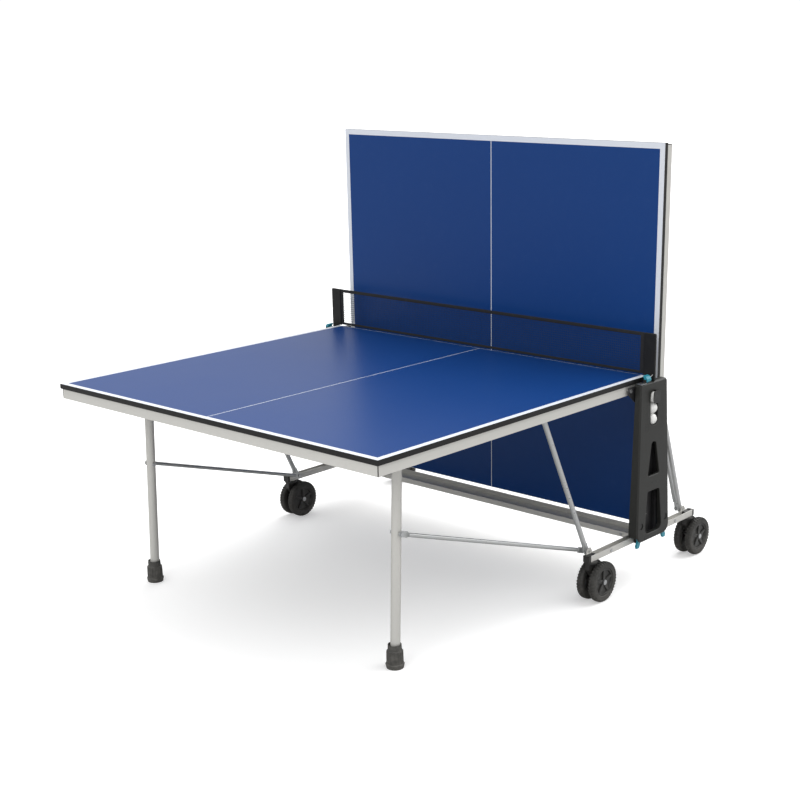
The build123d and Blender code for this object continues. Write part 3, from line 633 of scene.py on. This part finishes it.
# %% [markdown]
# The net is a knotted mesh of thin dark cord between a folded tape above and a narrower one
# below. A grid gives the right number of meshes, and the Wireframe modifier turns each of
# its edges into a cord with thickness, so light and the blue board show through the holes.

# %% The net's mesh
mesh_pitch = 0.0085
cord_thick = 0.0011
tape_height = 0.013
lower_tape_height = 0.009

net_width = net_high.x - net_low.x
net_height = net_high.z - net_low.z
columns = round(net_width / mesh_pitch)
rows = round(net_height / mesh_pitch)
begin()
bpy.ops.mesh.primitive_grid_add(
    x_subdivisions=columns,
    y_subdivisions=rows,
    size=1,
    location=(0, net_line, (net_low.z + net_high.z) / 2),
    rotation=(math.pi / 2, 0, 0),
)
bpy.context.object.scale = (net_width - 2 * cord_thick, net_height - 2 * cord_thick, 1)
net = settle("net_mesh")
bpy.ops.object.modifier_add(type="WIREFRAME")
net.modifiers[-1].thickness = cord_thick
net.modifiers[-1].use_replace = True
net.modifiers[-1].use_boundary = True
bpy.ops.object.modifier_apply(modifier=net.modifiers[-1].name)
fit(net, "base", "net_mesh")
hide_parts("net")
print("net:", columns, "by", rows, "meshes,", len(net.data.polygons), "faces")

# %% The net's tapes
tape_thick = 0.0022
tape_edge = 0.0009
lower_tape_edge = 0.0008
hem_width = 0.014
hem_extra = 0.0003
net_tape = finish("net_tape", (0.007, 0.007, 0.009), 0.8, spread=0.25, scale=1800, relief=0.12, marks=0.02)
top_tape = block(
    "net_top_tape",
    (net_low.x, net_line - tape_thick / 2, net_high.z - tape_height),
    (net_high.x, net_line + tape_thick / 2, net_high.z),
    tape_edge,
    3,
)
low_tape = block(
    "net_low_tape",
    (net_low.x, net_line - tape_thick / 2, net_low.z),
    (net_high.x, net_line + tape_thick / 2, net_low.z + lower_tape_height),
    lower_tape_edge,
    3,
)
side_tape = block(
    "net_side_tape_right",
    (net_high.x - hem_width, net_line - tape_thick / 2 - hem_extra, net_low.z),
    (net_high.x, net_line + tape_thick / 2 + hem_extra, net_high.z),
    tape_edge,
    3,
)
side_tape_left = mirrored(side_tape, "net_side_tape_left")
for piece in (top_tape, low_tape, side_tape, side_tape_left):
    smooth(piece)
    fit(piece, "base", "net_mesh", net_tape)

# %% [markdown]
# Each caster has two soft tyres with knobs round the tread. One tyre is made by spinning a
# flat profile round the axle, and every other face of the tread is then pushed out to
# make the knobs, staggered in two rows. The other tyres are copies.

# %% One treaded tyre
tyre_nodes = [name for name in nodes if name.startswith("tyres_")]
knob_count = 38
knob_height = 0.0022
wheel_low, wheel_high = box(tyre_nodes[0])
tyre_radius = (wheel_high.z - wheel_low.z) / 2
tyre_inner = 0.050
tyre_width = 0.024
tread_radius = tyre_radius - knob_height
shoulder_round = 0.0075
bead_round = 0.002
tread_band = 0.0035
steps_per_knob = 4
near_enough = 0.001
same_height = 0.0005
same_point = 0.00002

begin()
bpy.ops.mesh.primitive_plane_add(
    size=1,
    location=(0, 0, (tyre_inner + tread_radius) / 2),
    rotation=(math.pi / 2, 0, 0),
)
bpy.context.object.scale = (tyre_width, tread_radius - tyre_inner, 1)
tyre = settle("tyre_pattern")
edit(tyre)
pick(tyre, lambda v: v.co.z > tread_radius - near_enough, "verts")
bpy.ops.mesh.bevel(offset=shoulder_round, segments=4, affect="VERTICES")
pick(tyre, lambda v: v.co.z < tyre_inner + near_enough, "verts")
bpy.ops.mesh.bevel(offset=bead_round, segments=1, affect="VERTICES")
pick(tyre, lambda e: min(v.co.z for v in e.verts) > tread_radius - same_height, "edges")
bpy.ops.mesh.subdivide(number_cuts=1)
bpy.ops.mesh.select_all(action="SELECT")
bpy.ops.mesh.delete(type="ONLY_FACE")
bpy.ops.mesh.select_all(action="SELECT")
bpy.ops.mesh.spin(steps=steps_per_knob * knob_count, angle=2 * math.pi, center=(0, 0, 0), axis=(1, 0, 0))
bpy.ops.mesh.select_all(action="SELECT")
bpy.ops.mesh.remove_doubles(threshold=same_point)
bpy.ops.mesh.normals_make_consistent(inside=False)


def knob_face(face):
    """True for every other stretch of tread, with the two rows out of step."""
    middle = face.calc_center_median()
    radius = math.hypot(middle.y, middle.z)
    if radius < tread_radius - tread_band:
        return False
    turns = math.atan2(middle.z, middle.y) / (2 * math.pi)
    step = math.floor(turns * steps_per_knob * knob_count + 1e-6)
    row = 0 if middle.x < 0 else steps_per_knob // 2
    return (step + row) % steps_per_knob < steps_per_knob // 2


knob_faces = pick(tyre, knob_face)
bpy.ops.mesh.extrude_region_shrink_fatten(TRANSFORM_OT_shrink_fatten={"value": knob_height})
done()
smooth(tyre, 30)
print("tyre:", knob_faces, "knob faces,", len(tyre.data.polygons), "faces in all")

# %% Tyres on every caster
casters = [node_name.removeprefix("tyres_") for node_name in tyre_nodes]


def place_pairs(pattern, label, group, depth, slot):
    """Puts two copies of a wheel piece on each caster, one at each end of its CAD node's box."""
    for caster in casters:
        low, high = box(f"{group}_{caster}")
        middle = (low + high) / 2
        reach = (high.x - low.x - depth) / 2
        pieces = []
        for side, side_name in ((-1, "a"), (1, "b")):
            shift = Vector((middle.x + side * reach, middle.y, middle.z))
            pieces.append(copied(pattern, f"{label}_{caster}_{side_name}", shift))
        for piece in pieces:
            fit(piece, f"wheels_{caster}", slot)
        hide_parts(f"{group}_{caster}")
    bpy.data.objects.remove(pattern)
    print(label, "pairs placed on", len(casters), "casters")


place_pairs(tyre, "tyre", "tyres", tyre_width, "tyre_rubber")

# %% [markdown]
# The hub of each wheel is a moulded dish: a rim that holds the tyre, a web set back from
# the face, a boss at the axle and five spokes that stand proud of the web. It could be cut
# from one solid, but it is quicker as a hand would do it: inset and push the end face of
# a drum for the dish, then add five bevelled bars and join them on.

# %% Helpers for round pieces


def drum(name, center, radius, depth, axis="Z", sides=48):
    """A plain drum along one axis, as a start for a turned piece."""
    turn = {"X": (0, math.pi / 2, 0), "Y": (math.pi / 2, 0, 0), "Z": (0, 0, 0)}[axis]
    begin()
    bpy.ops.mesh.primitive_cylinder_add(
        vertices=sides, radius=radius, depth=depth, location=center, rotation=turn
    )
    return settle(name)


def joined(pieces, name):
    begin()
    for piece in pieces:
        piece.select_set(True)
    bpy.context.view_layer.objects.active = pieces[0]
    bpy.ops.object.join()
    whole = bpy.context.object
    whole.name = name
    whole.data.name = name
    return whole


def end_face(piece, axis, sign, reach):
    """Picks the flat face at one end of a drum, given how far along the axis that it lies."""
    return pick(
        piece,
        lambda f: sign * f.normal[axis] > 0.9 and abs(sign * f.calc_center_median()[axis] - reach) < 0.0002,
    )


# %% One dished hub
hub_depth = 0.018
hub_radius = tyre_inner
rim_width = 0.005
dish_depth = 0.006
boss_radius = 0.013
boss_height = 0.005
wall_slope = 0.0015
boss_slope = 0.001
cap_rise = 0.0005
hub_edge = 0.0005
sharp_turn = 0.8
spokes = 5
spoke_half_width = 0.0045
spoke_setback = 0.0008
spoke_bite = 0.001
spoke_boss_bite = 0.003
spoke_edge = 0.0012
spoke_flare = 1.5
spoke_flare_reach = 0.004

hub = drum("hub_pattern", (0, 0, 0), hub_radius, hub_depth, "X")
edit(hub)
for sign in (-1, 1):
    end_face(hub, X, sign, hub_depth / 2)
    bpy.ops.mesh.inset(thickness=rim_width, depth=0.0)
    bpy.ops.mesh.inset(thickness=wall_slope, depth=-dish_depth)
    bpy.ops.mesh.inset(thickness=hub_radius - rim_width - wall_slope - boss_radius, depth=0.0)
    bpy.ops.mesh.inset(thickness=boss_slope, depth=boss_height)
    bpy.ops.mesh.inset(thickness=boss_slope, depth=cap_rise)
pick(hub, lambda e: e.is_boundary is False and e.calc_face_angle(0) > sharp_turn, "edges")
bpy.ops.mesh.bevel(offset=hub_edge, segments=2, affect="EDGES")
done()
bars = []
for sign in (-1, 1):
    spoke_face = sign * (hub_depth / 2 - spoke_setback)
    spoke_root = sign * (hub_depth / 2 - dish_depth - spoke_bite)
    for number in range(spokes):
        low = (min(spoke_face, spoke_root), -spoke_half_width, boss_radius - spoke_boss_bite)
        high = (max(spoke_face, spoke_root), spoke_half_width, hub_radius - rim_width + spoke_bite)
        spoke = block(f"spoke_{number}", low, high, spoke_edge, 2)
        edit(spoke)
        pick(spoke, lambda v: v.co.z < boss_radius + spoke_flare_reach, "verts")
        bpy.ops.transform.resize(value=(1, spoke_flare, 1), center_override=(0, 0, 0))
        bpy.ops.mesh.select_all(action="SELECT")
        bpy.ops.transform.rotate(
            value=number * 2 * math.pi / spokes, orient_axis="X", center_override=(0, 0, 0)
        )
        done()
        bars.append(spoke)
hub = joined([hub] + bars, "hub_pattern")
smooth(hub, 30)
print("hub:", len(hub.data.polygons), "faces")

# %% Hubs on every caster
place_pairs(hub, "hub", "hubs", hub_depth, "hub_plastic")

# %% [markdown]
# The feet are moulded rubber boots: a round base, a wider lower body with upright ribs for
# grip when it is turned, a shoulder, and a neck with an open rim round the leg. The boot
# starts as a drum and is drawn upwards ring by ring, and every other side face of the
# lower body is then pushed out to make the ribs.

# %% One foot
foot_low, foot_high = box("near_feet")
foot_radius = (foot_high.y - foot_low.y) / 2
foot_center_x = foot_high.x - foot_radius
foot_top = foot_high.z - foot_low.z
foot_sides = 32
sole_thick = 0.002
sole_inset = 0.003
# How far the outline grows, and how far it rises, from one ring to the next
rings = (
    (0.0030, 0.012),
    (-0.0045, 0.004),
    (-0.0008, 0.040),
    (-0.0030, 0.004),
    (-0.0006, foot_top - 0.062),
)
rim_wall = 0.0026
rim_slope = 0.0006
rim_depth = 0.006
rib_low, rib_high = 0.02, 0.056
rib_height = 0.0014
foot_edge = 0.0006
foot_sharp_turn = 0.9

radius = foot_radius - sole_inset
foot = drum("foot_pattern", (0, 0, sole_thick / 2), radius, sole_thick, "Z", foot_sides)
edit(foot)
pick(foot, lambda f: f.normal.z > 0.9)
for grow, rise in rings:
    bpy.ops.mesh.extrude_region_move(TRANSFORM_OT_translate={"value": (0, 0, rise)})
    growth = (radius + grow) / radius
    bpy.ops.transform.resize(value=(growth, growth, 1), center_override=(0, 0, 0))
    radius += grow
bpy.ops.mesh.inset(thickness=rim_wall, depth=0.0)
bpy.ops.mesh.inset(thickness=rim_slope, depth=-rim_depth)


def rib_face(face):
    """True for every other side face of the lower body."""
    number = round(math.atan2(face.normal.y, face.normal.x) / (2 * math.pi) * foot_sides - 0.5)
    upright = abs(face.normal.z) < 0.2
    return upright and rib_low < face.calc_center_median().z < rib_high and number % 2 == 0


ribs = pick(foot, rib_face)
bpy.ops.mesh.extrude_faces_move(TRANSFORM_OT_shrink_fatten={"value": rib_height})
pick(foot, lambda e: e.calc_face_angle(0) > foot_sharp_turn, "edges")
bpy.ops.mesh.bevel(offset=foot_edge, segments=2, affect="EDGES")
done()
smooth(foot, 30)
print("foot:", ribs, "ribs,", len(foot.data.polygons), "faces")

# %% Feet on the four legs
for half in ("near", "far"):
    low, high = box(f"{half}_feet")
    for side, side_name in ((-1, "left"), (1, "right")):
        place = (side * foot_center_x, (low.y + high.y) / 2, low.z)
        fit(copied(foot, f"foot_{half}_{side_name}", place), f"{half}_leg", "foot_rubber")
    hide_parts(f"{half}_feet")
bpy.data.objects.remove(foot)
print("feet placed on four legs")

# %% [markdown]
# Three balls are kept in a slot in each pillar. A celluloid ball has a fine seam where its
# two halves meet. A sphere is turned so that its seam shows at an angle, and the ring of
# points on the seam is drawn in by a hair.

# %% The spare balls
balls_low, balls_high = box("balls")
ball_size = 0.020
ball_count = 3
seam_groove = 0.985
tilts = (0.5, -0.3, 1.1)

spare_balls = []
for side in (-1, 1):
    for number in range(ball_count):
        gap = (balls_high.z - balls_low.z - 2 * ball_size) / (ball_count - 1)
        place = (side * (balls_high.x - ball_size), net_line, balls_low.z + ball_size + number * gap)
        begin()
        bpy.ops.mesh.primitive_uv_sphere_add(segments=48, ring_count=32, radius=ball_size)
        ball = settle("ball")
        edit(ball)
        pick(ball, lambda v: abs(v.co.z) < 0.0003, "verts")
        bpy.ops.transform.resize(value=(seam_groove, seam_groove, 1), center_override=(0, 0, 0))
        bpy.ops.mesh.select_all(action="SELECT")
        bpy.ops.transform.rotate(value=tilts[number], orient_axis="Y", center_override=(0, 0, 0))
        bpy.ops.transform.translate(value=place)
        done()
        spare_balls.append(ball)
spare_balls = joined(spare_balls, "spare_balls")
smooth(spare_balls, 60)
fit(spare_balls, "base", "ball_white")
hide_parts("balls")
print("balls:", len(spare_balls.data.polygons), "faces")

# %% [markdown]
# A small plate lies on the near top corner of each pillar in front of the lock clip, and a
# thin wire runs up beside the clip towards the net post. The plate is a bevelled block. The
# wire is a thin drum whose two ends are drawn out to a small dome.

# %% Lock plates and wires
plate_thick = 0.0016
plate_width = 0.026
plate_gap = 0.010
plate_edge = 0.0005
pillar_drop = 0.015
plate_inner = half_width + plate_gap
plate_outer = plate_inner + plate_width
plate_front = net_line - 0.083
plate_back = net_line - 0.052
pillar_deck = table_top - pillar_drop

lock_plate = block(
    "lock_plate_right",
    (plate_inner, plate_front, pillar_deck),
    (plate_outer, plate_back, pillar_deck + plate_thick),
    plate_edge,
    2,
)
smooth(lock_plate)
for piece in (lock_plate, mirrored(lock_plate, "lock_plate_left")):
    fit(piece, "base", "bolt_steel")

wire_radius = 0.0014
wire_dome = 0.0003
wire_start = Vector((0.789, net_line - 0.022, table_top))
wire_end = Vector((0.791, net_line - 0.004, table_top + 0.008))
wire_aim = wire_end - wire_start
lock_wire = drum("lock_wire_right", (0, 0, 0), wire_radius, wire_aim.length, "Z", 12)
edit(lock_wire)
pick(lock_wire, lambda f: abs(f.normal.z) > 0.9)
bpy.ops.mesh.inset(thickness=wire_dome, depth=wire_dome)
done()
lock_wire.rotation_euler = wire_aim.to_track_quat("Z", "Y").to_euler()
lock_wire.location = (wire_start + wire_end) / 2
chosen(lock_wire)
settle("lock_wire_right")
smooth(lock_wire, 40)
for piece in (lock_wire, mirrored(lock_wire, "lock_wire_left")):
    fit(piece, "base", "bolt_steel")
print("lock plates and wires made")

# %% [markdown]
# Where two lengths of the apron meet at a corner there is a thin dark joint. It is a
# narrow upright strip let into the corner, made as a slim block with rounded edges.

# %% Apron corner joints
joint_width = 0.0022
joint_proud = 0.0004
joint_end_gap = 0.0005
joint_edge = 0.0005
for half in ("near", "far"):
    low, high = box(f"{half}_apron")
    if half == "near":
        corner_low = (high.x - joint_width, low.y - joint_proud, low.z + joint_end_gap)
        corner_high = (high.x + joint_proud, low.y + joint_width, high.z - joint_end_gap)
    else:
        corner_low = (high.x - joint_width, low.y + joint_end_gap, high.z - joint_width)
        corner_high = (high.x + joint_proud, high.y - joint_end_gap, high.z + joint_proud)
    strip = block(f"apron_joint_{half}_right", corner_low, corner_high, joint_edge, 2)
    smooth(strip)
    for piece in (strip, mirrored(strip, f"apron_joint_{half}_left")):
        fit(piece, f"{half}_table", "post_plastic")
print("apron joints made")
